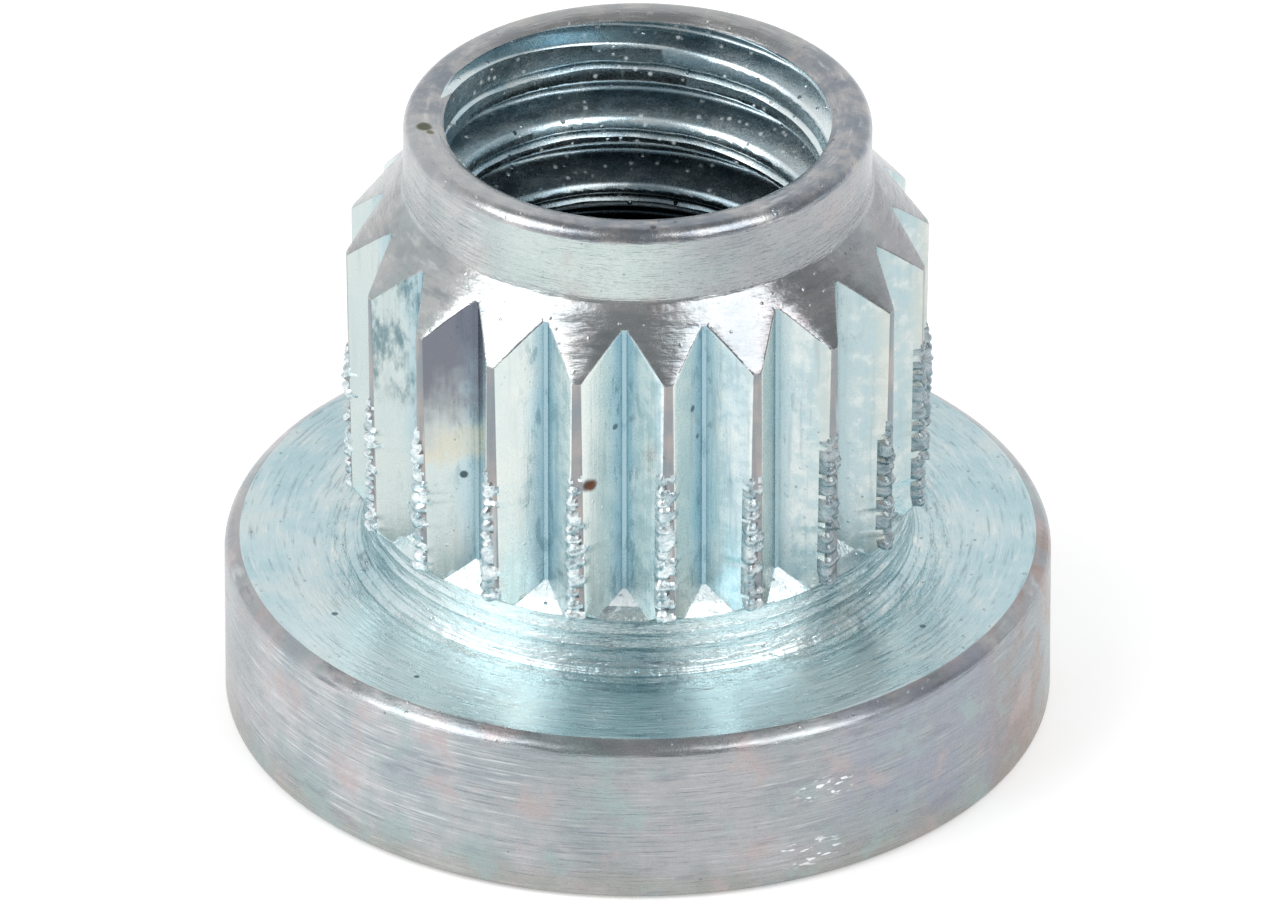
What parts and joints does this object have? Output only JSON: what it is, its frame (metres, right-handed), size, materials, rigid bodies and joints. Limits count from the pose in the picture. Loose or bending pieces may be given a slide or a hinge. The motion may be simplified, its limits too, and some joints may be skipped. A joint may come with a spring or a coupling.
{
  "type": "press-in nut",
  "caption": "One-piece flanged press-in nut with a serrated barrel, a short plain pilot and a threaded through bore.",
  "frame": {"origin": "centre of the flange's underside", "axes": "+Z along the bore, from the flange towards the pilot; one serration groove is centred on +X"},
  "size_m": [0.0116, 0.0116, 0.0092],
  "materials": {
    "zinc_plated_steel": "zinc plated and blue passivated over turned steel"
  },
  "bodies": {
    "root": {"press_in_nut": "zinc_plated_steel"}
  },
  "joints": []
}
